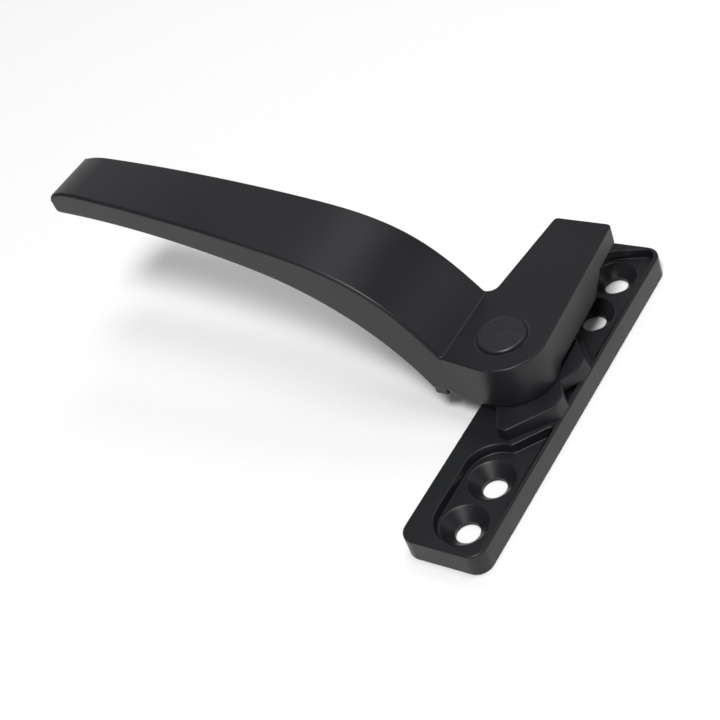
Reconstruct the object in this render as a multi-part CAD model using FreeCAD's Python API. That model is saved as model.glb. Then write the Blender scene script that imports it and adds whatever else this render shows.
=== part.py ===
import FreeCAD, Part
import math
import os
from FreeCAD import Vector, Placement, Rotation

# Casement window handle: a long fixing plate with a lever that turns on it.
# Millimetres. The plate's back lies in z = 0, and the Y axis runs along its
# line of screw holes. The lever's grip points to -X and its nose to +Y, the
# open position.

UP = Vector(0, 0, 1)

# Fixing plate
PLATE_LEFT_X = -11.1
PLATE_RIGHT_X = 8.9
PLATE_LENGTH = 94.0
PLATE_THICKNESS = 6.0
PLATE_CORNER_R = 3.6
PLATE_EDGE_R = 0.6

# Screw pockets, one near each end, and their countersunk holes
POCKET_FLOOR_Z = 3.5
POCKET_RIGHT_X = 7.8
POCKET_LEFT_X = -6.4
POCKET_HEAD_Y = 10.3
POCKET_SHOULDER_Y = 17.1
HOLE_R = 2.8
INNER_HOLE_Y = 25.5
OUTER_HOLE_Y = 38.0
COUNTERSINK_R = 5.4

# Pivot boss and the two ribs that carry the nose when it is turned over them
PIVOT_X = -5.8
BOSS_R = 9.4
BOSS_TOP_Z = 9.2
RIB_FACE_X = 7.8
RIB_INNER_Y = 3.9
RIB_OUTER_Y = 8.1
RIB_FAR_X = 0.1
RIB_FAR_Y = 16.3
RIB_DRAFT = 0.5

# Lever casting
LEVER_BOTTOM_Z = 9.5
LEVER_TOP_Z = 20.4
HUB_R = 10.6
NOSE_END_Y = 38.2
NOSE_END_LEFT = -5.6
NOSE_END_RIGHT = 8.7
NOSE_CORNER_R = 1.0
NOSE_BOTTOM_Z = 11.1
NOSE_LIP_Z = 15.6
NOSE_RAMP_START_Y = 23.2
NOSE_RAMP_END_Y = 28.6
CREASE_REACH = 10.6
GRIP_REACH = 118.1
GRIP_CENTRE_Y = 1.4
GRIP_ROOT_HALF_WIDTH = 10.9
GRIP_END_HALF_WIDTH = 7.1
GRIP_END_TOP_Z = 50.5
GRIP_THICKNESS = 7.0
GRIP_CORNER_R = 1.5
ROLL_DROP = 4.6

# Pivot stack
SHANK_R = 3.5
RIVET_FLANGE_R = 6.3
RIVET_HEAD_R = 5.7
RIVET_HEAD_BOTTOM_Z = 18.0
RIVET_HEAD_TOP_Z = 21.2
HEAD_SEAT_R = 6.4
HEAD_SEAT_Z = 17.0
BUSH_R = 4.5
BUSH_FLANGE_R = 5.6
BUSH_FLANGE_TOP_Z = 10.35
RUNNING_GAP = 0.05
TAIL_SEAT_R = 6.3
TAIL_SEAT_DEPTH = 2.6
TAIL_WASHER_R = 6.0
TAIL_WASHER_THICKNESS = 1.0
TAIL_R = 4.9

# Click detent and turning stop, both on one circle around the pivot
TRACK_R = 7.2
BALL_R = 1.25
BALL_ANGLE = 45.0
BALL_HOLE_TOP_Z = 16.5
DIMPLE_DEPTH = 0.4
STOP_ANGLE = 225.0
STOP_R = 1.1
STOP_BOTTOM_Z = 8.3
TURN_ANGLE = 90.0


def mirrored(shape):
    """The same shape on the other side of the plane y = 0."""
    return shape.mirror(Vector(0, 0, 0), Vector(0, 1, 0))


def on_track(angle, z):
    """A point on the detent circle, at an angle from +X around the pivot."""
    turn = math.radians(angle)
    return Vector(PIVOT_X + TRACK_R * math.cos(turn), TRACK_R * math.sin(turn), z)


def pivot_cylinder(radius, z_low, z_high):
    return Part.makeCylinder(radius, z_high - z_low, Vector(PIVOT_X, 0, z_low))


def pivot_revolve(points):
    """A ring around the pivot from a closed outline of (radius, z) points."""
    outline = [Vector(PIVOT_X + r, 0, z) for r, z in points]
    face = Part.Face(Part.makePolygon(outline + outline[:1]))
    return face.revolve(Vector(PIVOT_X, 0, 0), UP, 360)


def wire_of(*pieces):
    """One closed wire from curves and (start, end) point pairs."""
    edges = []
    for piece in pieces:
        if isinstance(piece, tuple):
            piece = Part.LineSegment(*piece)
        edges.append(piece.toShape())
    return Part.Wire(edges)


def prism(points, z_low, z_high):
    """An upright block from plan points."""
    outline = [Vector(x, y, z_low) for x, y in points]
    face = Part.Face(Part.makePolygon(outline + outline[:1]))
    return face.extrude(UP * (z_high - z_low))


def upright_edges(shape, places, reach=0.2):
    """The edges parallel to Z that stand at the given plan points."""
    found = []
    for edge in shape.Edges:
        start = edge.firstVertex().Point
        end = edge.lastVertex().Point
        if math.hypot(start.x - end.x, start.y - end.y) > 0.01:
            continue
        for x, y in places:
            if math.hypot(start.x - x, start.y - y) < reach:
                found.append(edge)
    return found


# ---- fixing plate ----

def plate_slab():
    """The flat bar with rounded corners and a softened top edge."""
    half_length = PLATE_LENGTH / 2
    slab = Part.makeBox(
        PLATE_RIGHT_X - PLATE_LEFT_X,
        PLATE_LENGTH,
        PLATE_THICKNESS,
        Vector(PLATE_LEFT_X, -half_length, 0),
    )
    corners = [(x, y) for x in (PLATE_LEFT_X, PLATE_RIGHT_X) for y in (-half_length, half_length)]
    slab = slab.makeFillet(PLATE_CORNER_R, upright_edges(slab, corners))
    top = [e for e in slab.Edges if e.BoundBox.ZMin > PLATE_THICKNESS - 0.01]
    return slab.makeFillet(PLATE_EDGE_R, top)


def screw_pocket():
    """The sunk area at the -Y end, shaped around its two screw holes."""
    floor_z = POCKET_FLOOR_Z
    head = Vector(POCKET_RIGHT_X, -POCKET_HEAD_Y, floor_z)
    shoulder = Vector(1.5, -POCKET_SHOULDER_Y, floor_z)
    inner_arc_r = 7.3
    inner_arc_x = POCKET_LEFT_X + inner_arc_r
    inner_arc_top = Vector(inner_arc_x, -INNER_HOLE_Y + inner_arc_r + 0.4, floor_z)
    slant = inner_arc_r * math.sqrt(0.5)
    inner_arc_mid = Vector(inner_arc_x - slant, -INNER_HOLE_Y + slant + 0.4, floor_z)
    left_high = Vector(POCKET_LEFT_X, -INNER_HOLE_Y + 0.4, floor_z)
    left_low = Vector(POCKET_LEFT_X + 0.2, -OUTER_HOLE_Y - 0.4, floor_z)
    outer_arc_mid = Vector(-4.4, -OUTER_HOLE_Y - 4.4, floor_z)
    bottom_left = Vector(-0.5, -OUTER_HOLE_Y - 6.6, floor_z)
    bottom_right = Vector(4.9, -PLATE_LENGTH / 2 + 0.9, floor_z)
    corner_mid = Vector(7.0, -PLATE_LENGTH / 2 + 1.7, floor_z)
    right_low = Vector(POCKET_RIGHT_X, -PLATE_LENGTH / 2 + 3.8, floor_z)
    outline = wire_of(
        (head, shoulder),
        (shoulder, inner_arc_top),
        Part.Arc(inner_arc_top, inner_arc_mid, left_high),
        (left_high, left_low),
        Part.Arc(left_low, outer_arc_mid, bottom_left),
        (bottom_left, bottom_right),
        Part.Arc(bottom_right, corner_mid, right_low),
        (right_low, head),
    )
    return Part.Face(outline).extrude(UP * (BOSS_TOP_Z - POCKET_FLOOR_Z))


def countersunk_hole(y):
    """A screw hole with a 90 degree seat for the screw's head."""
    hole = Part.makeCylinder(HOLE_R, BOSS_TOP_Z + 2, Vector(0, y, -1))
    seat_depth = COUNTERSINK_R - HOLE_R
    seat = Part.makeCone(
        HOLE_R, COUNTERSINK_R, seat_depth, Vector(0, y, POCKET_FLOOR_Z - seat_depth)
    )
    return hole.fuse(seat)


def nose_rest():
    """The raised ribs beside the boss; their ends lean back from the plate's edge."""
    foot_z = POCKET_FLOOR_Z
    half = [
        (PLATE_RIGHT_X + 1, RIB_OUTER_Y - 1.3),
        (RIB_FACE_X, RIB_OUTER_Y - 0.6),
        (RIB_FAR_X, RIB_FAR_Y),
        (RIB_FAR_X - 2.2, RIB_FAR_Y - 0.3),
        (PIVOT_X, BOSS_R - 0.5),
    ]
    foot_half = [
        (PLATE_RIGHT_X + 1, RIB_OUTER_Y - 1.3 + RIB_DRAFT),
        (RIB_FACE_X, RIB_OUTER_Y - 0.6 + RIB_DRAFT),
        (RIB_FAR_X, RIB_FAR_Y + RIB_DRAFT),
        (RIB_FAR_X - 4.6, RIB_FAR_Y - 1.2),
        (PIVOT_X - 3, BOSS_R - 1.0),
    ]
    sections = []
    for outline, z in ((foot_half, foot_z), (half, BOSS_TOP_Z)):
        points = outline + [(x, -y) for x, y in reversed(outline)]
        corners = [Vector(x, y, z) for x, y in points]
        sections.append(Part.makePolygon(corners + corners[:1]))
    block = Part.makeLoft(sections, True, True)
    lean = (PLATE_RIGHT_X - RIB_FACE_X) / (BOSS_TOP_Z - PLATE_THICKNESS)
    low_x = PLATE_RIGHT_X + lean * (PLATE_THICKNESS - foot_z)
    keep = Part.makePolygon([
        Vector(-20, -30, foot_z),
        Vector(low_x, -30, foot_z),
        Vector(RIB_FACE_X, -30, BOSS_TOP_Z),
        Vector(-20, -30, BOSS_TOP_Z),
        Vector(-20, -30, foot_z),
    ])
    block = block.common(Part.Face(keep).extrude(Vector(0, 60, 0)))
    inside = Part.makeBox(40, 60, 20, Vector(PLATE_RIGHT_X - 40, -30, 0))
    return block.common(inside)


def rib_notch():
    """The V-shaped hollow between the two ribs, behind the plate's rim."""
    rim_x = RIB_FACE_X
    deep = prism([(rim_x, -RIB_INNER_Y), (rim_x, RIB_INNER_Y), (4.2, 0)], POCKET_FLOOR_Z, 12)
    above_rim = prism(
        [(rim_x - 0.1, -RIB_INNER_Y), (rim_x - 0.1, RIB_INNER_Y), (12, RIB_INNER_Y), (12, -RIB_INNER_Y)],
        PLATE_THICKNESS,
        12,
    )
    return deep.fuse(above_rim)


def stop_groove():
    """The curved groove in the boss that the lever's stop stud runs in."""
    end_play = math.degrees(0.35 / TRACK_R)
    half_width = STOP_R + 0.3
    floor_z = STOP_BOTTOM_Z - 0.3
    start = STOP_ANGLE - TURN_ANGLE - end_play
    sweep = TURN_ANGLE + 2 * end_play
    section = Part.makePolygon([
        on_track(0, floor_z) + Vector(-half_width, 0, 0),
        on_track(0, floor_z) + Vector(half_width, 0, 0),
        on_track(0, 12) + Vector(half_width, 0, 0),
        on_track(0, 12) + Vector(-half_width, 0, 0),
        on_track(0, floor_z) + Vector(-half_width, 0, 0),
    ])
    groove = Part.Face(section).revolve(Vector(PIVOT_X, 0, 0), UP, sweep)
    groove.rotate(Vector(PIVOT_X, 0, 0), UP, start)
    for angle in (start, start + sweep):
        groove = groove.fuse(Part.makeCylinder(half_width, 12 - floor_z, on_track(angle, floor_z)))
    return groove


def base_plate():
    plate = plate_slab()
    pocket = screw_pocket()
    plate = plate.cut(pocket).cut(mirrored(pocket))
    plate = plate.fuse(nose_rest())
    plate = plate.fuse(pivot_cylinder(BOSS_R, 0, BOSS_TOP_Z))
    plate = plate.cut(rib_notch())
    for y in (-OUTER_HOLE_Y, -INNER_HOLE_Y, INNER_HOLE_Y, OUTER_HOLE_Y):
        plate = plate.cut(countersunk_hole(y))
    plate = plate.cut(pivot_cylinder(SHANK_R, -1, BOSS_TOP_Z + 1))
    plate = plate.cut(pivot_cylinder(TAIL_SEAT_R, -1, TAIL_SEAT_DEPTH))
    plate = plate.cut(stop_groove())
    for angle in (BALL_ANGLE, BALL_ANGLE - TURN_ANGLE):
        dimple_centre = on_track(angle, BOSS_TOP_Z - DIMPLE_DEPTH + BALL_R)
        plate = plate.cut(Part.makeSphere(BALL_R + RUNNING_GAP, dimple_centre))
    return plate.removeSplitter()


# ---- lever ----

def grip_profile():
    """Side view of the grip: reach is measured from the pivot to the grip's end."""
    def at(reach, z):
        return Vector(PIVOT_X - reach, -40, z)

    crease = at(CREASE_REACH, LEVER_TOP_Z)
    shoulder = at(47.3, 43.2)
    roll_top = at(GRIP_REACH - 10.3, GRIP_END_TOP_Z - 0.05)
    roll_end = at(GRIP_REACH, GRIP_END_TOP_Z - ROLL_DROP)
    roll = Part.BezierCurve()
    roll.setPoles([
        roll_top,
        at(GRIP_REACH - 4.8, GRIP_END_TOP_Z + 0.2),
        at(GRIP_REACH, GRIP_END_TOP_Z - 0.9),
        roll_end,
    ])
    heel_r = 2.0
    end_bottom_z = GRIP_END_TOP_Z - GRIP_THICKNESS
    heel_top = at(GRIP_REACH, end_bottom_z + heel_r)
    heel_mid = at(GRIP_REACH - heel_r * (1 - math.sqrt(0.5)), end_bottom_z + heel_r * (1 - math.sqrt(0.5)))
    end_bottom = at(GRIP_REACH - heel_r, end_bottom_z)
    under_bend = at(55.3, 36.2)
    root_corner = at(16.1, LEVER_BOTTOM_Z)
    top_bend = Part.BezierCurve()
    top_bend.setPoles([crease, at(20.3, 34.3), at(27.6, 39.5), shoulder])
    under_curve = Part.BezierCurve()
    under_curve.setPoles([root_corner, at(22.9, 20.8), at(35.9, 31.2), under_bend])
    inside_hub = 3.3
    outline = wire_of(
        top_bend,
        Part.Arc(shoulder, at(80.3, 48.1), roll_top),
        roll,
        (roll_end, heel_top),
        Part.Arc(heel_top, heel_mid, end_bottom),
        Part.Arc(end_bottom, at(85.3, 41.6), under_bend),
        under_curve,
        (root_corner, at(inside_hub, LEVER_BOTTOM_Z)),
        (at(inside_hub, LEVER_BOTTOM_Z), at(inside_hub, LEVER_TOP_Z)),
        (at(inside_hub, LEVER_TOP_Z), crease),
    )
    return Part.Face(outline).extrude(Vector(0, 80, 0))


def grip_half_width(reach):
    """Half the grip's width, which falls evenly from the crease to the end."""
    taper = (GRIP_ROOT_HALF_WIDTH - GRIP_END_HALF_WIDTH) / (GRIP_REACH - CREASE_REACH)
    return GRIP_ROOT_HALF_WIDTH - taper * (reach - CREASE_REACH)


def tapered_block(reach_low, reach_high, half_low, half_high, corner_r, rounded_reaches):
    """An upright block along the grip, its corners rounded at the given reaches."""
    places = [
        (PIVOT_X - reach_low, GRIP_CENTRE_Y - half_low),
        (PIVOT_X - reach_high, GRIP_CENTRE_Y - half_high),
        (PIVOT_X - reach_high, GRIP_CENTRE_Y + half_high),
        (PIVOT_X - reach_low, GRIP_CENTRE_Y + half_low),
    ]
    block = prism(places, 0, GRIP_END_TOP_Z + 20)
    rounded_x = [PIVOT_X - reach for reach in rounded_reaches]
    rounded = [place for place in places if place[0] in rounded_x]
    return block.makeFillet(corner_r, upright_edges(block, rounded))


def grip_plan():
    """The grip from above: straight tapering sides and a rounded end."""
    return tapered_block(
        0, GRIP_REACH, grip_half_width(0), grip_half_width(GRIP_REACH), GRIP_CORNER_R, [GRIP_REACH]
    )


def grip_channel():
    """The cored channel under the grip that keeps the casting's walls even."""
    wall = 3.4
    depth = 2.6
    start = 42.4
    end = GRIP_REACH - 12
    plan = tapered_block(
        start, end, grip_half_width(start) - wall, grip_half_width(end) - wall, 2.0, [start, end]
    )
    lowered = grip_profile()
    lowered.translate(Vector(0, 0, depth - GRIP_THICKNESS))
    return plan.common(lowered)


def tangent_point(x, y, side):
    """Where a line from a plan point touches the hub; offsets are from the pivot."""
    bearing = math.atan2(y, x)
    opening = math.acos(HUB_R / math.hypot(x, y))
    angle = bearing + side * opening
    return HUB_R * math.cos(angle), HUB_R * math.sin(angle)


def from_pivot(points):
    return [(PIVOT_X + x, y) for x, y in points]


def nose():
    """The short arm that passes over the frame; its end is thinned by a ramp."""
    left_end = (NOSE_END_LEFT, NOSE_END_Y)
    right_end = (NOSE_END_RIGHT, NOSE_END_Y)
    right_root = tangent_point(NOSE_END_RIGHT, NOSE_END_Y, -1)
    outline = [(0, right_root[1]), right_root, right_end, left_end, (-10.0, 0.5)]
    plan = prism(from_pivot(outline), NOSE_BOTTOM_Z, LEVER_TOP_Z)
    plan = plan.makeFillet(NOSE_CORNER_R, upright_edges(plan, from_pivot([left_end, right_end])))
    under_lip = Part.makePolygon([
        Vector(-30, NOSE_RAMP_START_Y, NOSE_BOTTOM_Z - 1),
        Vector(-30, NOSE_RAMP_START_Y, NOSE_BOTTOM_Z),
        Vector(-30, NOSE_RAMP_END_Y, NOSE_LIP_Z),
        Vector(-30, NOSE_END_Y + 1, NOSE_LIP_Z),
        Vector(-30, NOSE_END_Y + 1, NOSE_BOTTOM_Z - 1),
        Vector(-30, NOSE_RAMP_START_Y, NOSE_BOTTOM_Z - 1),
    ])
    return plan.cut(Part.Face(under_lip).extrude(Vector(60, 0, 0)))


def root_web():
    """Fills the near side between the hub's round and the grip's crease."""
    crease_y = GRIP_CENTRE_Y - grip_half_width(CREASE_REACH)
    touch = tangent_point(-CREASE_REACH, crease_y, 1)
    outline = [(-CREASE_REACH, crease_y), touch, (0, 0), (-CREASE_REACH, 0)]
    return prism(from_pivot(outline), LEVER_BOTTOM_Z, LEVER_TOP_Z)


def inner_corner():
    """The hollow round between the grip's far side and the nose's left side."""
    corner_r = 2.5
    side_y = GRIP_CENTRE_Y + grip_half_width(CREASE_REACH)
    nose_x = PIVOT_X - 8.6
    start = Vector(nose_x - corner_r, side_y, NOSE_BOTTOM_Z)
    slant = corner_r * math.sqrt(0.5)
    middle = Vector(nose_x - corner_r + slant, side_y + corner_r - slant, NOSE_BOTTOM_Z)
    end = Vector(nose_x, side_y + corner_r, NOSE_BOTTOM_Z)
    inside = Vector(PIVOT_X - 5, side_y - 3, NOSE_BOTTOM_Z)
    outline = wire_of(Part.Arc(start, middle, end), (end, inside), (inside, start))
    return Part.Face(outline).extrude(UP * (LEVER_TOP_Z - NOSE_BOTTOM_Z))


def root_lug():
    """The small lug under the near side of the grip's root."""
    return Part.makeBox(3.4, 4.5, 4.0, Vector(PIVOT_X - 15.9, -9.2, 8.0))


def lever():
    body = pivot_cylinder(HUB_R, LEVER_BOTTOM_Z, LEVER_TOP_Z)
    body = body.fuse(nose()).fuse(root_web()).fuse(inner_corner())
    body = body.fuse(grip_profile().common(grip_plan()))
    body = body.removeSplitter()
    body = body.cut(grip_channel())
    body = body.fuse(root_lug())
    body = body.fuse(Part.makeCylinder(
        STOP_R, LEVER_BOTTOM_Z + 1 - STOP_BOTTOM_Z, on_track(STOP_ANGLE, STOP_BOTTOM_Z)
    ))
    body = body.cut(pivot_cylinder(HEAD_SEAT_R, HEAD_SEAT_Z, LEVER_TOP_Z + 1))
    body = body.cut(pivot_cylinder(BUSH_R, LEVER_BOTTOM_Z - 1, LEVER_TOP_Z))
    body = body.cut(pivot_cylinder(BUSH_FLANGE_R, LEVER_BOTTOM_Z - 1, BUSH_FLANGE_TOP_Z))
    ball_hole_z = LEVER_BOTTOM_Z - 1
    body = body.cut(Part.makeCylinder(
        BALL_R + RUNNING_GAP, BALL_HOLE_TOP_Z - ball_hole_z, on_track(BALL_ANGLE, ball_hole_z)
    ))
    return body.removeSplitter()


# ---- pivot stack ----

def pivot_rivet():
    """Low button head on a flush flange, shank through lever and plate, upset tail."""
    tail_bottom = 0.4
    tail_top = TAIL_SEAT_DEPTH - TAIL_WASHER_THICKNESS
    flange_top = LEVER_TOP_Z - 0.05
    head_bevel = 0.6
    return pivot_revolve([
        (0, tail_bottom),
        (TAIL_R - 0.8, tail_bottom),
        (TAIL_R, tail_bottom + 0.5),
        (TAIL_R, tail_top),
        (SHANK_R, tail_top),
        (SHANK_R, RIVET_HEAD_BOTTOM_Z),
        (RIVET_FLANGE_R, RIVET_HEAD_BOTTOM_Z),
        (RIVET_FLANGE_R, flange_top),
        (RIVET_HEAD_R, flange_top),
        (RIVET_HEAD_R, RIVET_HEAD_TOP_Z - head_bevel),
        (RIVET_HEAD_R - head_bevel, RIVET_HEAD_TOP_Z),
        (0, RIVET_HEAD_TOP_Z),
    ])


def disc_spring():
    """A coned washer between the rivet's flange and the floor of its seat."""
    thickness = 0.45
    outer_r = RIVET_FLANGE_R - 0.7
    low_z = HEAD_SEAT_Z + RUNNING_GAP
    high_z = RIVET_HEAD_BOTTOM_Z
    return pivot_revolve([
        (outer_r, low_z),
        (outer_r, low_z + thickness),
        (SHANK_R + 0.3, high_z),
        (SHANK_R + 0.3, high_z - thickness),
    ])


def bearing_bush():
    """A plastic sleeve in the hub, whose flange runs on top of the boss."""
    bore_r = SHANK_R + RUNNING_GAP
    flange_bottom_z = BOSS_TOP_Z + RUNNING_GAP
    return pivot_revolve([
        (bore_r, flange_bottom_z),
        (BUSH_FLANGE_R, flange_bottom_z),
        (BUSH_FLANGE_R, BUSH_FLANGE_TOP_Z),
        (BUSH_R, BUSH_FLANGE_TOP_Z),
        (BUSH_R, HEAD_SEAT_Z - 0.1),
        (bore_r, HEAD_SEAT_Z - 0.1),
    ])


def tail_washer():
    bottom_z = TAIL_SEAT_DEPTH - TAIL_WASHER_THICKNESS
    ring = pivot_cylinder(TAIL_WASHER_R, bottom_z, TAIL_SEAT_DEPTH)
    return ring.cut(pivot_cylinder(SHANK_R + RUNNING_GAP, bottom_z - 1, TAIL_SEAT_DEPTH + 1))


# ---- click detent ----

def detent_ball():
    """Drawn lifted clear of the boss, as it is while the lever turns."""
    return Part.makeSphere(BALL_R, on_track(BALL_ANGLE, BOSS_TOP_Z + RUNNING_GAP + BALL_R))


def detent_spring():
    """A compression coil between the ball and the end of its hole."""
    wire_r = 0.2
    coil_r = 0.9
    low_z = BOSS_TOP_Z + RUNNING_GAP + 2 * BALL_R + wire_r
    high_z = BALL_HOLE_TOP_Z - wire_r
    pitch = (high_z - low_z) / 5
    path = Part.makeHelix(pitch, high_z - low_z, coil_r)
    ring = Part.Wire([Part.makeCircle(wire_r, Vector(coil_r, 0, 0), Vector(0, 1, 0))])
    coil = Part.Wire(path).makePipeShell([ring], True, True)
    coil.Placement = Placement(on_track(BALL_ANGLE, low_z), Rotation())
    return coil


PIECES = {
    "base_plate": base_plate,
    "lever": lever,
    "pivot_rivet": pivot_rivet,
    "disc_spring": disc_spring,
    "bearing_bush": bearing_bush,
    "tail_washer": tail_washer,
    "detent_ball": detent_ball,
    "detent_spring": detent_spring,
}

os.makedirs("parts", exist_ok=True)
for name, make in PIECES.items():
    make().exportStep("parts/" + name + ".step")
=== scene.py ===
import math

import bpy
from mathutils import Matrix, Vector


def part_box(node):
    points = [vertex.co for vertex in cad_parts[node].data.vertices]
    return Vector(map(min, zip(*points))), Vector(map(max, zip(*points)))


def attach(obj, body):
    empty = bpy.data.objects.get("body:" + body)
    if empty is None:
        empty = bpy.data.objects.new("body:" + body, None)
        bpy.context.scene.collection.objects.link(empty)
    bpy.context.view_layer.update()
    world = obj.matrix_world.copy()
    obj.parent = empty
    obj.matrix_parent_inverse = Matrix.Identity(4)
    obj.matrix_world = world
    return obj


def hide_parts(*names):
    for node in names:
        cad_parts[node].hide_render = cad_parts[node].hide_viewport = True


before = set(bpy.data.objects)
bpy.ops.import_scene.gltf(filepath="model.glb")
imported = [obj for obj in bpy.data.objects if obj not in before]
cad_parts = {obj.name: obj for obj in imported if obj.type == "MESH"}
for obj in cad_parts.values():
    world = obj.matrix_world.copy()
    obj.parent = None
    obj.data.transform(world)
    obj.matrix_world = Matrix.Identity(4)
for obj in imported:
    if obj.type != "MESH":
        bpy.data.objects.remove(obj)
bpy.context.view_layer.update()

# ---- The fixing plate ----
# An aluminium alloy die casting that screws flat to the sash: a long bar with a sunk pocket and two
# countersunk holes at each end, a round boss for the pivot, and two ribs that the nose passes over.
# One half is modelled, a little past the middle, and mirrored.

MM = 0.001
PLATE_LEFT, PLATE_RIGHT = -11.1, 8.9
PLATE_END = -47.0
PLATE_TOP = 6.0
PLATE_CORNER_R = 3.6
PAST_MIDDLE = 2.0
BOSS_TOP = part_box("base_plate")[1].z / MM
BOSS_R = 9.4
PIVOT = Vector((-5.8, 0, 0))
POCKET_FLOOR = 3.5
POCKET_SIDE = 7.8
HOLES = (Vector((0, -25.5, 0)), Vector((0, -38.0, 0)))
HOLE_R = 2.8
SEAT_R = 5.4
SHANK_R = 3.5
OVERCUT = 1.0  # how far a cutter runs past the face that it opens


def solid(name, outline, sweep):
    """A closed solid, drawn corner by corner in millimetres and then pulled along a vector."""
    bpy.ops.object.select_all(action="DESELECT")
    bpy.ops.mesh.primitive_plane_add(size=1, location=outline[0])
    piece = bpy.context.object
    piece.name = name
    bpy.ops.object.transform_apply(location=True)
    bpy.ops.object.mode_set(mode="EDIT")
    bpy.ops.mesh.select_mode(type="VERT")
    bpy.ops.mesh.merge(type="CENTER")
    for here, there in zip(outline, outline[1:]):
        bpy.ops.mesh.extrude_vertices_move(TRANSFORM_OT_translate={"value": there - here})
    bpy.ops.mesh.select_all(action="SELECT")
    bpy.ops.mesh.edge_face_add()
    bpy.ops.mesh.extrude_region_move(TRANSFORM_OT_translate={"value": Vector(sweep)})
    bpy.ops.mesh.select_all(action="SELECT")
    bpy.ops.mesh.normals_make_consistent(inside=False)
    bpy.ops.object.mode_set(mode="OBJECT")
    return piece


def block(name, corners, low, high):
    """An upright solid from its plan corners."""
    return solid(name, [Vector((x, y, low)) for x, y in corners], (0, 0, high - low))


def cylinder(name, centre, radius, low, high):
    """An upright cylinder around a plan point, between two heights."""
    bpy.ops.object.select_all(action="DESELECT")
    bpy.ops.mesh.primitive_cylinder_add(
        vertices=96,
        radius=radius,
        depth=high - low,
        location=(centre.x, centre.y, (low + high) / 2),
    )
    piece = bpy.context.object
    piece.name = name
    bpy.ops.object.transform_apply(location=True)
    return piece


def round_edges(piece, radius, segments, wanted):
    """Rounds the edges for which wanted(one end, other end) is true, in millimetres."""
    bpy.ops.object.select_all(action="DESELECT")
    piece.select_set(True)
    bpy.context.view_layer.objects.active = piece
    bpy.ops.object.mode_set(mode="EDIT")
    bpy.ops.mesh.select_mode(type="EDGE")
    bpy.ops.mesh.select_all(action="DESELECT")
    bpy.ops.object.mode_set(mode="OBJECT")
    points = [vertex.co for vertex in piece.data.vertices]
    for edge in piece.data.edges:
        start, end = edge.vertices
        edge.select = wanted(points[start], points[end])
    bpy.ops.object.mode_set(mode="EDIT")
    bpy.ops.mesh.bevel(offset=radius, segments=segments, affect="EDGES", clamp_overlap=False)
    bpy.ops.object.mode_set(mode="OBJECT")


def upright_at(x, y):
    """A test for the upright edge that stands at a plan point."""
    def wanted(start, end):
        return all(math.hypot(p.x - x, p.y - y) < 0.02 for p in (start, end))
    return wanted


def level_at(height):
    """A test for the edges that lie level at a height."""
    def wanted(start, end):
        return all(abs(p.z - height) < 0.01 for p in (start, end))
    return wanted


def combine(piece, operation, *others):
    """Joins others to the piece, cuts them from it, or keeps what they share."""
    for other in others:
        bpy.ops.object.select_all(action="DESELECT")
        piece.select_set(True)
        bpy.context.view_layer.objects.active = piece
        bpy.ops.object.modifier_add(type="BOOLEAN")
        modifier = piece.modifiers[-1]
        modifier.object = other
        modifier.operation = operation
        modifier.solver = "MANIFOLD"
        bpy.ops.object.modifier_apply(modifier=modifier.name)
        bpy.data.objects.remove(other)


def finish_shape(piece):
    """Takes the piece from millimetres to metres, shades the rounds smooth and keeps the flats flat."""
    bpy.ops.object.select_all(action="DESELECT")
    piece.select_set(True)
    bpy.context.view_layer.objects.active = piece
    bpy.ops.object.mode_set(mode="EDIT")
    bpy.ops.mesh.select_all(action="SELECT")
    bpy.ops.transform.resize(value=(MM, MM, MM), center_override=(0, 0, 0))
    bpy.ops.object.mode_set(mode="OBJECT")
    bpy.ops.object.shade_smooth_by_angle(angle=math.radians(38))
    bpy.ops.object.modifier_add(type="WEIGHTED_NORMAL")
    piece.modifiers[-1].keep_sharp = True
    bpy.ops.object.modifier_apply(modifier=piece.modifiers[-1].name)
    piece.data.materials.clear()


PLATE_CORNERS = [
    (PLATE_LEFT, PLATE_END),
    (PLATE_RIGHT, PLATE_END),
    (PLATE_RIGHT, PAST_MIDDLE),
    (PLATE_LEFT, PAST_MIDDLE),
]
fixing_plate = block("fixing_plate_casting", PLATE_CORNERS, 0, PLATE_TOP)
for corner_x in (PLATE_LEFT, PLATE_RIGHT):
    round_edges(fixing_plate, PLATE_CORNER_R, 10, upright_at(corner_x, PLATE_END))
round_edges(fixing_plate, 0.45, 4, level_at(PLATE_TOP))
round_edges(fixing_plate, 0.3, 2, level_at(0))

# The pocket's plan corners, each with the radius of its round.
POCKET_CORNERS = {
    (POCKET_SIDE, -9.9): 1.1,
    (1.5, -17.3): 0.7,
    (-6.4, -17.9): 6.9,
    (-6.1, -43.0): 5.2,
    (POCKET_SIDE, -46.7): 3.4,
}
pocket = block("pocket", list(POCKET_CORNERS), POCKET_FLOOR, PLATE_TOP + OVERCUT)
for (corner_x, corner_y), corner_r in POCKET_CORNERS.items():
    round_edges(pocket, corner_r, 10, upright_at(corner_x, corner_y))
round_edges(pocket, 0.3, 3, level_at(POCKET_FLOOR))
combine(fixing_plate, "DIFFERENCE", pocket)


def pocket_rim(start, end):
    """The edges at the plate's top that lie well inside its outline."""
    for p in (start, end):
        inner_x = min(max(p.x, PLATE_LEFT + PLATE_CORNER_R), PLATE_RIGHT - PLATE_CORNER_R)
        inner_y = min(max(p.y, PLATE_END + PLATE_CORNER_R), PAST_MIDDLE - PLATE_CORNER_R)
        outward = math.hypot(p.x - inner_x, p.y - inner_y)
        if abs(p.z - PLATE_TOP) > 0.01 or outward > PLATE_CORNER_R - 0.6:
            return False
    return True


round_edges(fixing_plate, 0.35, 3, pocket_rim)

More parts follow.
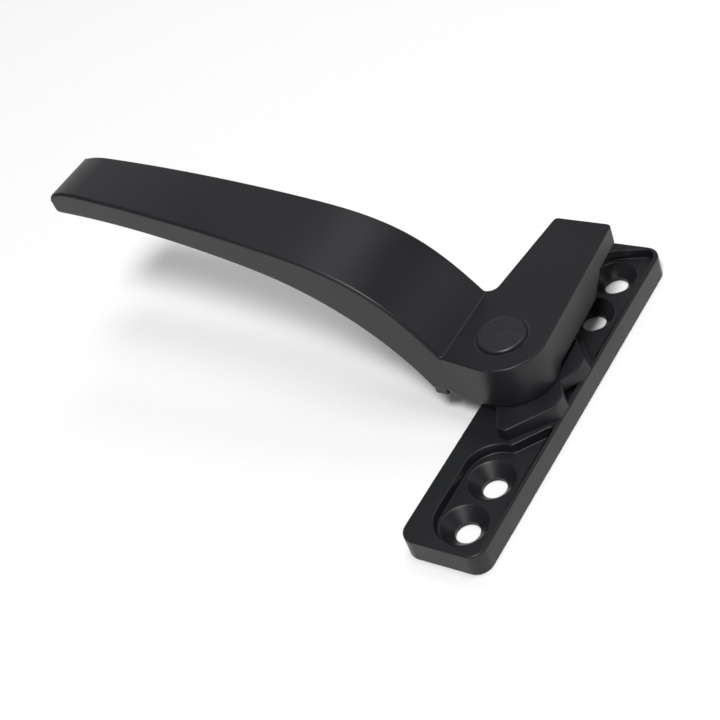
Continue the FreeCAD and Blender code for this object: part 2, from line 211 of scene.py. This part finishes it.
# Each countersink is a cone of 45 degrees that runs past the seat at both ends.
CONE_OVERCUT = 0.5
SEAT_LOW = POCKET_FLOOR - (SEAT_R - HOLE_R)
for hole in HOLES:
    shank_hole = cylinder("shank_hole", hole, HOLE_R, -OVERCUT, POCKET_FLOOR + OVERCUT)
    bpy.ops.object.select_all(action="DESELECT")
    bpy.ops.mesh.primitive_cone_add(
        vertices=96,
        radius1=HOLE_R - CONE_OVERCUT,
        radius2=SEAT_R + CONE_OVERCUT,
        depth=SEAT_R - HOLE_R + 2 * CONE_OVERCUT,
        location=(hole.x, hole.y, (SEAT_LOW + POCKET_FLOOR) / 2),
    )
    bpy.ops.object.transform_apply(location=True)
    screw_seat = bpy.context.object
    combine(fixing_plate, "DIFFERENCE", shank_hole, screw_seat)

    def seat_rim(start, end):
        """The countersink's round edge at the pocket floor."""
        for p in (start, end):
            off_rim = math.hypot(p.x - hole.x, p.y - hole.y) - SEAT_R
            if abs(off_rim) > 0.05 or abs(p.z - POCKET_FLOOR) > 0.05:
                return False
        return True

    round_edges(fixing_plate, 0.25, 2, seat_rim)

# The rib stands a little into the plate, and its outer side spreads towards its foot.
RIB_FOOT = 5.4
RIB_SPREAD = 1.05
RIB_CORNERS = [
    (POCKET_SIDE, -3.9),
    (POCKET_SIDE, -7.5),
    (0.1, -16.3),
    (-2.1, -16.0),
    (-5.8, -8.9),
    (-5.8, 1),
    (5.2, 1),
]
rib = block("rib", RIB_CORNERS, RIB_FOOT, BOSS_TOP)
bpy.ops.object.mode_set(mode="EDIT")
bpy.ops.mesh.select_mode(type="VERT")
bpy.ops.mesh.select_all(action="DESELECT")
bpy.ops.object.mode_set(mode="OBJECT")
for vertex in rib.data.vertices:
    vertex.select = vertex.co.z < RIB_FOOT + 0.1 and vertex.co.x > POCKET_SIDE - 0.1
bpy.ops.object.mode_set(mode="EDIT")
bpy.ops.transform.translate(value=(RIB_SPREAD, 0, 0))
bpy.ops.object.mode_set(mode="OBJECT")
round_edges(rib, 0.3, 3, level_at(BOSS_TOP))
combine(fixing_plate, "UNION", rib)

boss = cylinder("boss", PIVOT, BOSS_R, 0, BOSS_TOP)
round_edges(boss, 0.35, 3, level_at(BOSS_TOP))
combine(fixing_plate, "UNION", boss)

NOTCH_CORNERS = [(POCKET_SIDE, -3.9), (POCKET_SIDE, PAST_MIDDLE), (3.2, PAST_MIDDLE), (4.2, 0)]
notch = block("notch", NOTCH_CORNERS, POCKET_FLOOR, PLATE_TOP + 0.1)
combine(fixing_plate, "DIFFERENCE", notch)

bpy.ops.object.modifier_add(type="MIRROR")
mirror = fixing_plate.modifiers[-1]
mirror.use_axis = (False, True, False)
mirror.use_bisect_axis = (False, True, False)
mirror.use_bisect_flip_axis = (False, True, False)
mirror.merge_threshold = 0.002
bpy.ops.object.modifier_apply(modifier=mirror.name)

TAIL_SEAT_R = 6.3
TAIL_SEAT_DEPTH = 2.6
combine(
    fixing_plate,
    "DIFFERENCE",
    cylinder("shank_bore", PIVOT, SHANK_R, -OVERCUT, BOSS_TOP + OVERCUT),
    cylinder("tail_seat", PIVOT, TAIL_SEAT_R, -OVERCUT, TAIL_SEAT_DEPTH),
)

# The stop stud runs in a groove that is swept in small steps, and the click ball drops into a
# dimple when the handle is open and another when it is closed, a quarter turn away.
TRACK_R = 7.2
STUD_OPEN, STUD_CLOSED = 225, 135
BALL_OPEN, BALL_CLOSED = 45, -45
GROOVE_R = 1.4
GROOVE_FLOOR = 8.0
DIMPLE_R = 1.3
DIMPLE_CENTRE_LIFT = 0.85


def on_track(degrees):
    """A plan point on the circle that the click ball and the stop stud run on."""
    turn = math.radians(degrees)
    return PIVOT + Vector((math.cos(turn), math.sin(turn), 0)) * TRACK_R


for degrees in range(STUD_CLOSED, STUD_OPEN + 1, 5):
    groove = cylinder("stop_groove", on_track(degrees), GROOVE_R, GROOVE_FLOOR, BOSS_TOP + OVERCUT)
    combine(fixing_plate, "DIFFERENCE", groove)
for degrees in (BALL_OPEN, BALL_CLOSED):
    bpy.ops.object.select_all(action="DESELECT")
    dimple_centre = on_track(degrees) + Vector((0, 0, BOSS_TOP + DIMPLE_CENTRE_LIFT))
    bpy.ops.mesh.primitive_uv_sphere_add(
        segments=24,
        ring_count=16,
        radius=DIMPLE_R,
        location=dimple_centre,
    )
    bpy.ops.object.transform_apply(location=True)
    combine(fixing_plate, "DIFFERENCE", bpy.context.object)
finish_shape(fixing_plate)


def linear(code):
    """The linear colour of an sRGB hex code."""
    parts = [int(code[i:i + 2], 16) / 255 for i in (0, 2, 4)]
    return [c / 12.92 if c <= 0.04045 else ((c + 0.055) / 1.055) ** 2.4 for c in parts] + [1.0]


def add_node(tree, kind, settings=None, links=None, **values):
    """A node with its settings, its socket values and the links that feed it."""
    node = tree.nodes.new(kind)
    for name, value in (settings or {}).items():
        setattr(node, name, value)
    for name, value in values.items():
        node.inputs[name.replace("_", " ")].default_value = value
    for name, source in (links or {}).items():
        tree.links.new(source, node.inputs[name])
    return node


def new_material(name):
    """An empty material, its node tree, and a node that gives places on the piece."""
    material = bpy.data.materials.new(name)
    material.use_nodes = True
    material.node_tree.nodes.clear()
    return material, material.node_tree, add_node(material.node_tree, "ShaderNodeTexCoord")


def speckle(tree, place, size, detail):
    """A cloudy pattern fixed to the piece, with features of about a size in millimetres."""
    return add_node(
        tree,
        "ShaderNodeTexNoise",
        links={"Vector": place.outputs["Object"]},
        Scale=1 / (size * MM),
        Detail=detail,
    )


def uneven_gloss(tree, pattern, smoothest, roughest):
    """A roughness that drifts between two values with a pattern."""
    return add_node(
        tree,
        "ShaderNodeMapRange",
        links={"Value": pattern.outputs["Fac"]},
        From_Min=0.3,
        From_Max=0.7,
        To_Min=smoothest,
        To_Max=roughest,
    )


def two_shades(tree, pattern, dark, light):
    """The colour output of a mix of two hex colours that follows a pattern."""
    mix = add_node(
        tree,
        "ShaderNodeMix",
        settings={"data_type": "RGBA"},
        links={"Factor": pattern.outputs["Fac"]},
    )
    first_colour, second_colour, mixed_colour = 6, 7, 2
    mix.inputs[first_colour].default_value = linear(dark)
    mix.inputs[second_colour].default_value = linear(light)
    return mix.outputs[mixed_colour]


# Black polyester powder coat, sprayed on the castings and baked. It gives the eye a satin black
# with a faint orange peel about 1.4 mm across and a grain of 0.25 mm, which break up highlights,
# and a gloss that drifts a little over every 18 mm.
powder_coat, tree, place = new_material("satin_black_powder_coat")
peel = speckle(tree, place, 1.4, 2.0)
grain = speckle(tree, place, 0.25, 3.0)
cloud = speckle(tree, place, 18, 2.0)
roughness = uneven_gloss(tree, cloud, 0.36, 0.44)
shade = two_shades(tree, grain, "17181A", "1E1F23")
peel_bump = add_node(
    tree,
    "ShaderNodeBump",
    links={"Height": peel.outputs["Fac"]},
    Strength=0.25,
    Distance=0.02 * MM,
)
grain_bump = add_node(
    tree,
    "ShaderNodeBump",
    links={"Height": grain.outputs["Fac"], "Normal": peel_bump.outputs["Normal"]},
    Strength=0.25,
    Distance=0.01 * MM,
)
coat = add_node(
    tree,
    "ShaderNodeBsdfPrincipled",
    links={
        "Base Color": shade,
        "Roughness": roughness.outputs["Result"],
        "Normal": grain_bump.outputs["Normal"],
    },
    IOR=1.4,
)
add_node(tree, "ShaderNodeOutputMaterial", links={"Surface": coat.outputs["BSDF"]})

fixing_plate.data.materials.append(powder_coat)
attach(fixing_plate, "fixing_plate")
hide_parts("base_plate")

# ---- The lever ----
# One casting: a hub that turns on the boss, a short nose that passes over the frame, and a long
# grip that rises from the hub in a curve and is cored out underneath to keep its walls even.

HUB_R = 10.6
LEVER_BOTTOM = 9.5
LEVER_TOP = 20.4
NOSE_BOTTOM = 11.1
NOSE_END = 38.2
NOSE_RIGHT = 8.7
NOSE_LEFT = -5.6
CREASE = 10.6
ROOT = 12.5
GRIP_START = 7.5
GRIP_END = 118.1
GRIP_CENTRE = 1.4
GRIP_SWEEP = (0, 50, 0)
CREASE_HALF_WIDTH = 10.9
END_HALF_WIDTH = 7.1


def at(reach, height):
    """A point of the grip's side view, drawn to the -Y side of the grip."""
    return Vector((PIVOT.x - reach, -20, height))


def arc(start, middle, end, steps):
    """Points along the circle through three points, without the first."""
    a, b = start - middle, end - middle
    normal = a.cross(b)
    to_centre = (a.length_squared * b.cross(normal) + b.length_squared * normal.cross(a)) / (
        2 * normal.length_squared
    )
    centre = middle + to_centre
    spoke = start - centre
    angle = spoke.angle(middle - centre) + (middle - centre).angle(end - centre)
    axis = spoke.cross(middle - centre).normalized()
    return [centre + Matrix.Rotation(angle * i / steps, 3, axis) @ spoke for i in range(1, steps + 1)]


def bezier(poles, steps):
    """Points along a cubic curve, without the first."""
    points = []
    for i in range(1, steps + 1):
        t = i / steps
        weights = ((1 - t) ** 3, 3 * t * (1 - t) ** 2, 3 * t * t * (1 - t), t ** 3)
        points.append(sum((w * p for w, p in zip(weights, poles)), Vector((0, 0, 0))))
    return points


def half_width(reach):
    """Half the grip's width, which falls evenly from the crease to the end."""
    narrowing = (reach - CREASE) / (GRIP_END - CREASE)
    return CREASE_HALF_WIDTH - (CREASE_HALF_WIDTH - END_HALF_WIDTH) * narrowing


def tapered(name, start, end, wall, near_r, far_r):
    """An upright block as wide as the grip less a wall at each side, with rounded end corners."""
    corners = [
        (PIVOT.x - start, GRIP_CENTRE - half_width(start) + wall),
        (PIVOT.x - end, GRIP_CENTRE - half_width(end) + wall),
        (PIVOT.x - end, GRIP_CENTRE + half_width(end) - wall),
        (PIVOT.x - start, GRIP_CENTRE + half_width(start) - wall),
    ]
    piece = block(name, corners, 0, 70)
    for (corner_x, corner_y), corner_r in zip(corners[1:3], (near_r, far_r)):
        round_edges(piece, corner_r, 8, upright_at(corner_x, corner_y))
    return piece


# The grip's side view runs along its top from the hub, over the rolled end and the heel, and back
# along its underside.
GRIP_END_TOP = 50.5
GRIP_THICKNESS = 7.0
roll_top = at(GRIP_END - 10.3, GRIP_END_TOP - 0.05)
roll_end = at(GRIP_END, GRIP_END_TOP - 4.6)
roll = [roll_top, at(GRIP_END - 4.8, GRIP_END_TOP + 0.2), at(GRIP_END, GRIP_END_TOP - 0.9), roll_end]
heel_top = at(GRIP_END, GRIP_END_TOP - 5.0)
heel_middle = at(GRIP_END - 0.59, GRIP_END_TOP - 6.41)
heel_end = at(GRIP_END - 2.0, GRIP_END_TOP - GRIP_THICKNESS)
under_bend = at(55.3, 36.2)
shoulder = at(47.3, 43.2)
crease_start = at(CREASE - 0.68, LEVER_TOP - 0.01)
crease_middle = at(CREASE - 0.08, LEVER_TOP + 0.147)
crease_end = at(CREASE + 0.39, LEVER_TOP + 0.557)
grip_side = [at(GRIP_START, 16.0), crease_start]
grip_side += arc(crease_start, crease_middle, crease_end, 5)
grip_side += bezier([at(CREASE, LEVER_TOP), at(20.3, 34.3), at(27.6, 39.5), shoulder], 26)
grip_side += arc(shoulder, at(80.3, 48.1), roll_top, 20)
grip_side += bezier(roll, 14)
grip_side += [heel_top]
grip_side += arc(heel_top, heel_middle, heel_end, 5)
grip_side += arc(heel_end, at(85.3, 41.6), under_bend, 18)
grip_side += bezier([under_bend, at(35.9, 31.2), at(22.9, 20.8), at(16.1, LEVER_BOTTOM)], 22)
grip_side += [at(GRIP_START, LEVER_BOTTOM)]
grip = solid("grip", grip_side, GRIP_SWEEP)
NEAR_CORNER_R = 1.5
FAR_CORNER_R = 3.0
combine(grip, "INTERSECT", tapered("grip_plan", 2, GRIP_END, 0, NEAR_CORNER_R, FAR_CORNER_R))


def grip_rim(start, end):
    """The grip's long edges, above and below, and the first half of each turn round its end corners."""
    for p in (start, end):
        reach = PIVOT.x - p.x
        off_middle = abs(p.y - GRIP_CENTRE)
        corner_r = NEAR_CORNER_R if p.y < GRIP_CENTRE else FAR_CORNER_R
        corner_reach = GRIP_END - corner_r
        to_corner = math.hypot(reach - corner_reach, off_middle - half_width(GRIP_END) + corner_r)
        on_side = abs(off_middle - half_width(reach)) < 0.03 and reach < corner_reach + 0.1
        on_corner = abs(to_corner - corner_r) < 0.06 and reach > corner_reach - 0.1
        if reach < GRIP_START - 0.1 or not (on_side or on_corner):
            return False
    along = abs(start.x - end.x)
    return start.y * end.y > 0 and along > 0.01 and along > 0.9 * abs(start.y - end.y)


round_edges(grip, 0.8, 4, grip_rim)

# The channel under the grip is the grip itself, lowered until a roof is left, between two walls.
ROOF = 2.6
WALL = 3.4
CHANNEL_START, CHANNEL_END = 42.4, GRIP_END - 12
channel_side = [p + Vector((0, 0, ROOF - GRIP_THICKNESS)) for p in grip_side]
channel = solid("channel", channel_side, GRIP_SWEEP)
combine(channel, "INTERSECT", tapered("channel_plan", CHANNEL_START, CHANNEL_END, WALL, 2.0, 2.0))
combine(grip, "DIFFERENCE", channel)


def plan(x, y):
    """A plan point of the lever, measured from the pivot."""
    return Vector((PIVOT.x + x, y, LEVER_BOTTOM))


def hub_touch(x, y, side):
    """The angle at which a line from a plan point touches the hub's round, on the side 1 or -1."""
    return math.atan2(y, x) + side * math.acos(HUB_R / math.hypot(x, y))


# The plan runs from the grip's near side round the hub, along the nose, round its end and back to
# the grip's far side.
near_side = GRIP_CENTRE - CREASE_HALF_WIDTH
far_side = GRIP_CENTRE + CREASE_HALF_WIDTH
web_touch = hub_touch(-CREASE, near_side, 1)
nose_touch = hub_touch(NOSE_RIGHT, NOSE_END, -1)
hub_turn = (nose_touch + 2 * math.pi - web_touch) % (2 * math.pi)
HUB_STEPS = 56
outline = [plan(-ROOT, -9.0), plan(-CREASE, near_side)]
for i in range(HUB_STEPS + 1):
    angle = web_touch + hub_turn * i / HUB_STEPS
    outline.append(plan(HUB_R * math.cos(angle), HUB_R * math.sin(angle)))
corner_top = plan(-8.3, far_side + 2.5)
corner_middle = plan(-9.03, far_side + 0.73)
corner_foot = plan(-10.8, far_side)
outline += [plan(NOSE_RIGHT, NOSE_END), plan(NOSE_LEFT, NOSE_END), corner_top]
outline += arc(corner_top, corner_middle, corner_foot, 8)
outline += [plan(-ROOT, 11.8)]
lever = solid("lever_casting", outline, (0, 0, LEVER_TOP - LEVER_BOTTOM))
for corner_x in (NOSE_RIGHT, NOSE_LEFT):
    round_edges(lever, 1.0, 6, upright_at(PIVOT.x + corner_x, NOSE_END))


def head_rim(height):
    """A test for the outline of the hub and nose at a height, but not where the grip grows from it."""
    def wanted(start, end):
        return level_at(height)(start, end) and max(start.x, end.x) > PIVOT.x - ROOT + 0.1
    return wanted


round_edges(lever, 0.4, 4, head_rim(LEVER_TOP))

# The nose is cut back underneath outside the hub's round, and a ramp thins its end to a lip that
# slides over the keeper.
UNDER_NOSE_CORNERS = [(-3.3, 5), (14, -1), (14, 42), (-14, 42), (-14, 12.3), (-3.3, 12.3)]
under_nose = block(
    "under_nose",
    [(PIVOT.x + x, y) for x, y in UNDER_NOSE_CORNERS],
    LEVER_BOTTOM - OVERCUT,
    NOSE_BOTTOM,
)
combine(under_nose, "DIFFERENCE", cylinder("hub_room", PIVOT, HUB_R, 5, 15))
RAMP_START, RAMP_END = 23.2, 28.6
LIP_BOTTOM = 15.6
LIP_SIDE_VIEW = [
    (RAMP_START, NOSE_BOTTOM - OVERCUT),
    (RAMP_START, NOSE_BOTTOM),
    (RAMP_END, LIP_BOTTOM),
    (NOSE_END + OVERCUT, LIP_BOTTOM),
    (NOSE_END + OVERCUT, NOSE_BOTTOM - OVERCUT),
]
under_lip = solid("under_lip", [Vector((-30, y, z)) for y, z in LIP_SIDE_VIEW], (60, 0, 0))
combine(lever, "DIFFERENCE", under_nose, under_lip)
combine(lever, "UNION", grip)

# Under the root of the grip there is a small lug, and under the hub the stud that stops the turn.
LUG_CORNERS = [(-15.9, -9.2), (-ROOT, -9.2), (-ROOT, -4.7), (-15.9, -4.7)]
LUG_BOTTOM, LUG_TOP = 8.0, 12.0
root_lug = block("root_lug", [(PIVOT.x + x, y) for x, y in LUG_CORNERS], LUG_BOTTOM, LUG_TOP)
for corner_x, corner_y in LUG_CORNERS:
    round_edges(root_lug, 0.5, 4, upright_at(PIVOT.x + corner_x, corner_y))
round_edges(root_lug, 0.25, 3, level_at(LUG_BOTTOM))
STUD_R = 1.1
STUD_BOTTOM = 8.3
stop_stud = cylinder("stop_stud", on_track(STUD_OPEN), STUD_R, STUD_BOTTOM, LEVER_BOTTOM + OVERCUT)
combine(lever, "UNION", root_lug, stop_stud)

# The seats in the hub take the rivet's head, the bush and its flange, and the click ball.
HEAD_SEAT_R, HEAD_SEAT_BOTTOM = 6.4, 17.0
BUSH_R, BUSH_FLANGE_R, BUSH_FLANGE_TOP = 4.5, 5.6, 10.35
BALL_HOLE_R, BALL_HOLE_TOP = 1.3, 16.5
hub_foot = LEVER_BOTTOM - OVERCUT
combine(
    lever,
    "DIFFERENCE",
    cylinder("head_seat", PIVOT, HEAD_SEAT_R, HEAD_SEAT_BOTTOM, LEVER_TOP + OVERCUT),
    cylinder("bush_bore", PIVOT, BUSH_R, hub_foot, LEVER_TOP),
    cylinder("bush_flange_seat", PIVOT, BUSH_FLANGE_R, hub_foot, BUSH_FLANGE_TOP),
    cylinder("ball_hole", on_track(BALL_OPEN), BALL_HOLE_R, hub_foot, BALL_HOLE_TOP),
)
finish_shape(lever)
lever.data.materials.append(powder_coat)
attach(lever, "lever")
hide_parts("lever")

# ---- The pivot rivet ----
# A steel rivet with a low button head on a flush flange, turned and then upset over a washer at the
# back of the plate. It holds the lever down on the boss.

HEAD_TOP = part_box("pivot_rivet")[1].z / MM
TAIL_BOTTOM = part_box("pivot_rivet")[0].z / MM
TAIL_R = 4.9
TAIL_TOP = 1.6
HEAD_R = 5.7
HEAD_ROUND = 0.6
FLANGE_R = 6.3
FLANGE_RIM_R = 6.38
FLANGE_BOTTOM = 18.0
FLANGE_TOP = LEVER_TOP - 0.03


def turned(name, outline):
    """A solid of revolution around the pivot, from (radius, height) points that start and end on its axis."""
    bpy.ops.object.select_all(action="DESELECT")
    first = PIVOT + Vector((outline[0][0], 0, outline[0][1]))
    bpy.ops.mesh.primitive_plane_add(size=1, location=first)
    piece = bpy.context.object
    piece.name = name
    bpy.ops.object.transform_apply(location=True)
    bpy.ops.object.mode_set(mode="EDIT")
    bpy.ops.mesh.select_mode(type="VERT")
    bpy.ops.mesh.merge(type="CENTER")
    for (r_here, z_here), (r_there, z_there) in zip(outline, outline[1:]):
        step = (r_there - r_here, 0, z_there - z_here)
        bpy.ops.mesh.extrude_vertices_move(TRANSFORM_OT_translate={"value": step})
    bpy.ops.mesh.select_all(action="SELECT")
    bpy.ops.mesh.spin(steps=96, angle=2 * math.pi, center=PIVOT, axis=(0, 0, 1), use_auto_merge=True)
    bpy.ops.mesh.select_all(action="SELECT")
    bpy.ops.mesh.remove_doubles(threshold=0.001)
    bpy.ops.mesh.normals_make_consistent(inside=False)
    bpy.ops.object.mode_set(mode="OBJECT")
    return piece


def corner(r, z, radius, start_degrees, steps=5):
    """Points on a quarter circle around (r, z), clockwise from start_degrees."""
    turns = [math.radians(start_degrees - 90 * i / steps) for i in range(steps + 1)]
    return [(r + radius * math.cos(t), z + radius * math.sin(t)) for t in turns]


rivet_outline = [(0, TAIL_BOTTOM), (TAIL_R - 0.8, TAIL_BOTTOM), (TAIL_R - 0.3, TAIL_BOTTOM + 0.2)]
rivet_outline += [(TAIL_R, TAIL_BOTTOM + 0.6), (TAIL_R, TAIL_TOP), (SHANK_R, TAIL_TOP)]
rivet_outline += [(SHANK_R, FLANGE_BOTTOM), (FLANGE_R, FLANGE_BOTTOM), (FLANGE_R, LEVER_TOP - 2.0)]
rivet_outline += [(FLANGE_RIM_R, LEVER_TOP - 1.9), (FLANGE_RIM_R, FLANGE_TOP), (HEAD_R, FLANGE_TOP)]
rivet_outline += reversed(corner(HEAD_R - HEAD_ROUND, HEAD_TOP - HEAD_ROUND, HEAD_ROUND, 90))
rivet_outline += [(HEAD_R - 2.5, HEAD_TOP), (0, HEAD_TOP)]
rivet = turned("pivot_rivet_turned", rivet_outline)
finish_shape(rivet)

# Black oxide and lacquer on turned steel. It gives the eye a smoother satin black than the castings,
# a little lighter and mottled, with faint turning rings 0.5 mm apart.
RING_PITCH = 0.5
rivet_black, tree, place = new_material("black_lacquered_steel")
rings_centre = add_node(
    tree,
    "ShaderNodeMapping",
    links={"Vector": place.outputs["Object"]},
    Location=(-PIVOT.x * MM, 0, 0),
)
rings = add_node(
    tree,
    "ShaderNodeTexWave",
    settings={"wave_type": "RINGS", "rings_direction": "Z"},
    links={"Vector": rings_centre.outputs["Vector"]},
    Scale=math.pi / 10 / (RING_PITCH * MM),
    Distortion=0.6,
    Detail=2.0,
)
mottle = speckle(tree, place, 1.1, 3.0)
roughness = uneven_gloss(tree, mottle, 0.3, 0.4)
ring_bump = add_node(
    tree,
    "ShaderNodeBump",
    links={"Height": rings.outputs["Fac"]},
    Strength=0.12,
    Distance=0.01 * MM,
)
mottle_bump = add_node(
    tree,
    "ShaderNodeBump",
    links={"Height": mottle.outputs["Fac"], "Normal": ring_bump.outputs["Normal"]},
    Strength=0.2,
    Distance=0.015 * MM,
)
shade = two_shades(tree, mottle, "1C1D20", "252629")
lacquer = add_node(
    tree,
    "ShaderNodeBsdfPrincipled",
    links={
        "Base Color": shade,
        "Roughness": roughness.outputs["Result"],
        "Normal": mottle_bump.outputs["Normal"],
    },
    IOR=1.5,
)
add_node(tree, "ShaderNodeOutputMaterial", links={"Surface": lacquer.outputs["BSDF"]})
rivet.data.materials.append(rivet_black)
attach(rivet, "fixing_plate")
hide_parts("pivot_rivet")

# ---- Springs, washer, ball and bush ----
# The small parts inside the pivot and the click keep their shapes. Each metal is named for its
# surface: oiled spring steel, bright zinc plate, and a lapped ball; the bush is moulded acetal.

# Each metal: its pieces, darker and lighter colour, least and most roughness, and grain in
# millimetres. They give the eye a dull grey, a bright pale grey and a near mirror.
METALS = {
    "oiled_spring_steel": (("disc_spring", "detent_spring"), "6B6C70", "83858A", 0.28, 0.42, 0.35),
    "bright_zinc_plate": (("tail_washer",), "C3C7CB", "D9DCDE", 0.2, 0.34, 1.8),
    "lapped_bearing_steel": (("detent_ball",), "C4C5C8", "CFD0D2", 0.06, 0.12, 0.3),
}
for name, (nodes, dark, light, smoothest, roughest, grain_size) in METALS.items():
    metal, tree, place = new_material(name)
    grain = speckle(tree, place, grain_size, 3.0)
    roughness = uneven_gloss(tree, grain, smoothest, roughest)
    shade = two_shades(tree, grain, dark, light)
    surface = add_node(
        tree,
        "ShaderNodeBsdfPrincipled",
        links={"Base Color": shade, "Roughness": roughness.outputs["Result"]},
        Metallic=1.0,
    )
    add_node(tree, "ShaderNodeOutputMaterial", links={"Surface": surface.outputs["BSDF"]})
    for node in nodes:
        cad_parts[node].data.materials.clear()
        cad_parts[node].data.materials.append(metal)

# Natural acetal, injection moulded. It gives the eye a waxy off-white with a faint flow grain.
acetal, tree, place = new_material("moulded_acetal")
flow = speckle(tree, place, 0.8, 2.0)
shade = two_shades(tree, flow, "E2E0D6", "EBE9E0")
roughness = uneven_gloss(tree, flow, 0.38, 0.46)
plastic = add_node(
    tree,
    "ShaderNodeBsdfPrincipled",
    links={"Base Color": shade, "Roughness": roughness.outputs["Result"]},
    IOR=1.48,
)
add_node(tree, "ShaderNodeOutputMaterial", links={"Surface": plastic.outputs["BSDF"]})
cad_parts["bearing_bush"].data.materials.clear()
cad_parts["bearing_bush"].data.materials.append(acetal)

# ---- The studio ----
# White card under the handle, a soft key light just above and left of the camera, four weaker ones
# overhead, behind and to the right for the rims, and a dim room that is seen as white.
# The camera looks down on the hub from the right of the nose.

FLOOR_SIZE = 2.4
FLOOR_GAP = 0.2 * MM
bpy.ops.object.select_all(action="DESELECT")
bpy.ops.mesh.primitive_plane_add(size=FLOOR_SIZE, location=(0, 0, -FLOOR_GAP))
floor = bpy.context.object
floor.name = "floor"
# Uncoated card. It gives the eye an even matt white with a faint fibre of about 1.7 mm.
card, tree, place = new_material("matt_white_card")
FIBRES_PER_METRE = 600.0
fibre = add_node(
    tree,
    "ShaderNodeTexNoise",
    links={"Vector": place.outputs["Object"]},
    Scale=FIBRES_PER_METRE,
    Detail=3.0,
)
paper = add_node(tree, "ShaderNodeBsdfDiffuse", links={"Color": two_shades(tree, fibre, "F4F4F4", "F8F8F8")})
add_node(tree, "ShaderNodeOutputMaterial", links={"Surface": paper.outputs["BSDF"]})
floor.data.materials.append(card)

CAMERA_RIGHT = Vector((0.81175, 0.49475, -0.31029))
CAMERA_UP = Vector((-0.16281, 0.70197, 0.69335))
CAMERA_BACK = Vector((0.56085, -0.51231, 0.65038))
CAMERA_PLACE = Vector((0.15165, -0.18445, 0.23662))
SUBJECT = Vector((-0.03, 0, 0.015))


def soft_light(name, direction, distance, size, power):
    """A square light facing the handle from a direction, sized in metres and powered in watts."""
    bpy.ops.object.light_add(type="AREA", location=SUBJECT + direction.normalized() * distance)
    lamp = bpy.context.object
    lamp.name = name
    lamp.data.size = size
    lamp.data.energy = power
    lamp.rotation_euler = direction.to_track_quat("Z", "Y").to_euler()


soft_light("key_light", CAMERA_BACK + 0.3 * CAMERA_UP - 0.3 * CAMERA_RIGHT, 2.0, 0.45, 31.0)
soft_light("overhead_softbox", Vector((0.1, 0.05, 1)), 1.4, 0.5, 4.5)
soft_light("back_softbox", Vector((-0.09, 0.5, 0.86)), 1.4, 0.4, 1.6)
soft_light("low_back_light", Vector((-0.85, 0.5, 0.25)), 1.3, 1.0, 2.6)
soft_light("right_fill", Vector((0.74, 0.51, 0.44)), 1.4, 0.7, 1.5)

# The room lights the handle dimly but is drawn white behind it.
room = bpy.data.worlds.new("room")
bpy.context.scene.world = room
room.use_nodes = True
tree = room.node_tree
tree.nodes.clear()
seen = add_node(tree, "ShaderNodeLightPath")
dim = add_node(tree, "ShaderNodeBackground", Color=(1, 1, 1, 1), Strength=0.11)
white = add_node(tree, "ShaderNodeBackground", Color=(1, 1, 1, 1), Strength=1.0)
backdrop = add_node(
    tree,
    "ShaderNodeMixShader",
    links={"Fac": seen.outputs["Is Camera Ray"], 1: dim.outputs[0], 2: white.outputs[0]},
)
add_node(tree, "ShaderNodeOutputWorld", links={"Surface": backdrop.outputs[0]})

bpy.ops.object.camera_add()
camera = bpy.context.object
camera.data.lens = 75.2
camera.data.sensor_width = 36
camera.data.clip_start = 0.01
pose = Matrix((CAMERA_RIGHT, CAMERA_UP, CAMERA_BACK)).transposed().to_4x4()
pose.translation = CAMERA_PLACE
camera.matrix_world = pose
bpy.context.scene.camera = camera
bpy.context.scene.view_settings.view_transform = "Standard"
